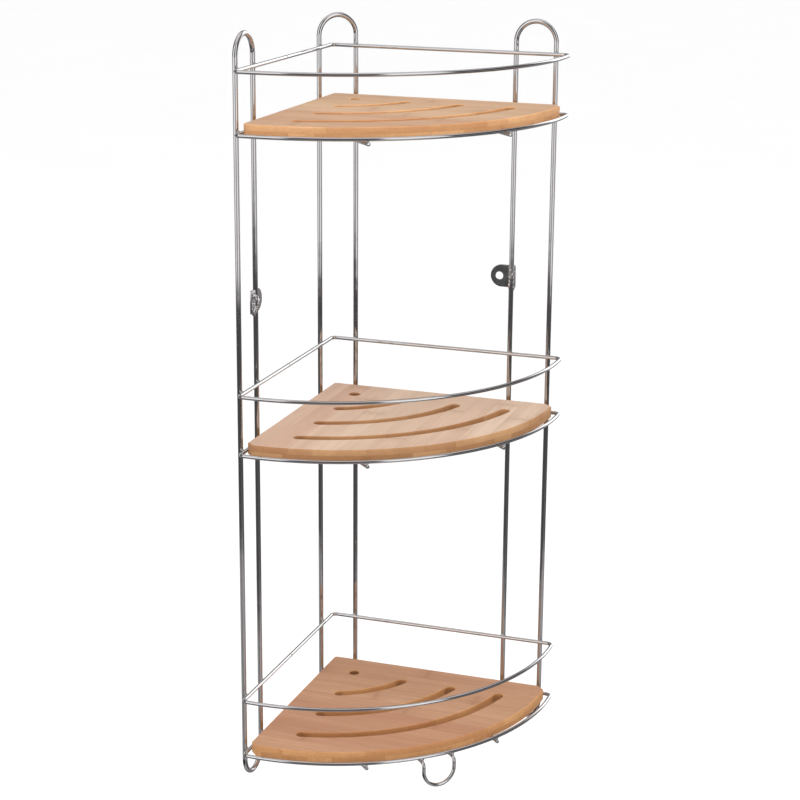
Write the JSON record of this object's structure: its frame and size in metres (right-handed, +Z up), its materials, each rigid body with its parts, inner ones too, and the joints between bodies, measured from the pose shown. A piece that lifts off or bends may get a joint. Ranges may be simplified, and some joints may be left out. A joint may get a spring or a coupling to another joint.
{
  "type": "shower caddy",
  "caption": "Corner shower caddy: a welded chromed wire frame with tiers of guard rings, loose bamboo boards, wall brackets and a towel hook.",
  "frame": {"origin": "on the back face of the bracket that is screwed to the back wall, between its screw hole and the upright", "axes": "+Z up along the uprights, +Y into the back wall, -X into the side wall, so the room is towards +X and -Y"},
  "size_m": [0.2078, 0.2078, 0.5953],
  "materials": {
    "chrome": "polished chrome plate",
    "bracket_steel": "chrome plate, duller, stamped",
    "bamboo": "laminated bamboo, fine satin, lightly oiled"
  },
  "bodies": {
    "frame": {"upright_back_wall": "chrome", "upright_side_wall": "chrome", "upright_corner": "chrome", "shelf_ring_bottom": "chrome", "guard_ring_bottom": "chrome", "support_wire_left_bottom": "chrome", "support_wire_right_bottom": "chrome", "shelf_ring_middle": "chrome", "guard_ring_middle": "chrome", "support_wire_left_middle": "chrome", "support_wire_right_middle": "chrome", "shelf_ring_top": "chrome", "guard_ring_top": "chrome", "support_wire_left_top": "chrome", "support_wire_right_top": "chrome", "bracket_back_wall": "bracket_steel", "bracket_side_wall": "bracket_steel", "towel_hook": "chrome"},
    "shelf_top": {"board_top": "bamboo"},
    "shelf_middle": {"board_middle": "bamboo"},
    "shelf_bottom": {"board_bottom": "bamboo"}
  },
  "joints": [
    {"name": "board_top_lift", "type": "slide", "parent": "frame", "child": "shelf_top", "axis": [0, 0, 1], "range_m": [0, 0.052]},
    {"name": "board_middle_lift", "type": "slide", "parent": "frame", "child": "shelf_middle", "axis": [0, 0, 1], "range_m": [0, 0.052]},
    {"name": "board_bottom_lift", "type": "slide", "parent": "frame", "child": "shelf_bottom", "axis": [0, 0, 1], "range_m": [0, 0.052]}
  ]
}
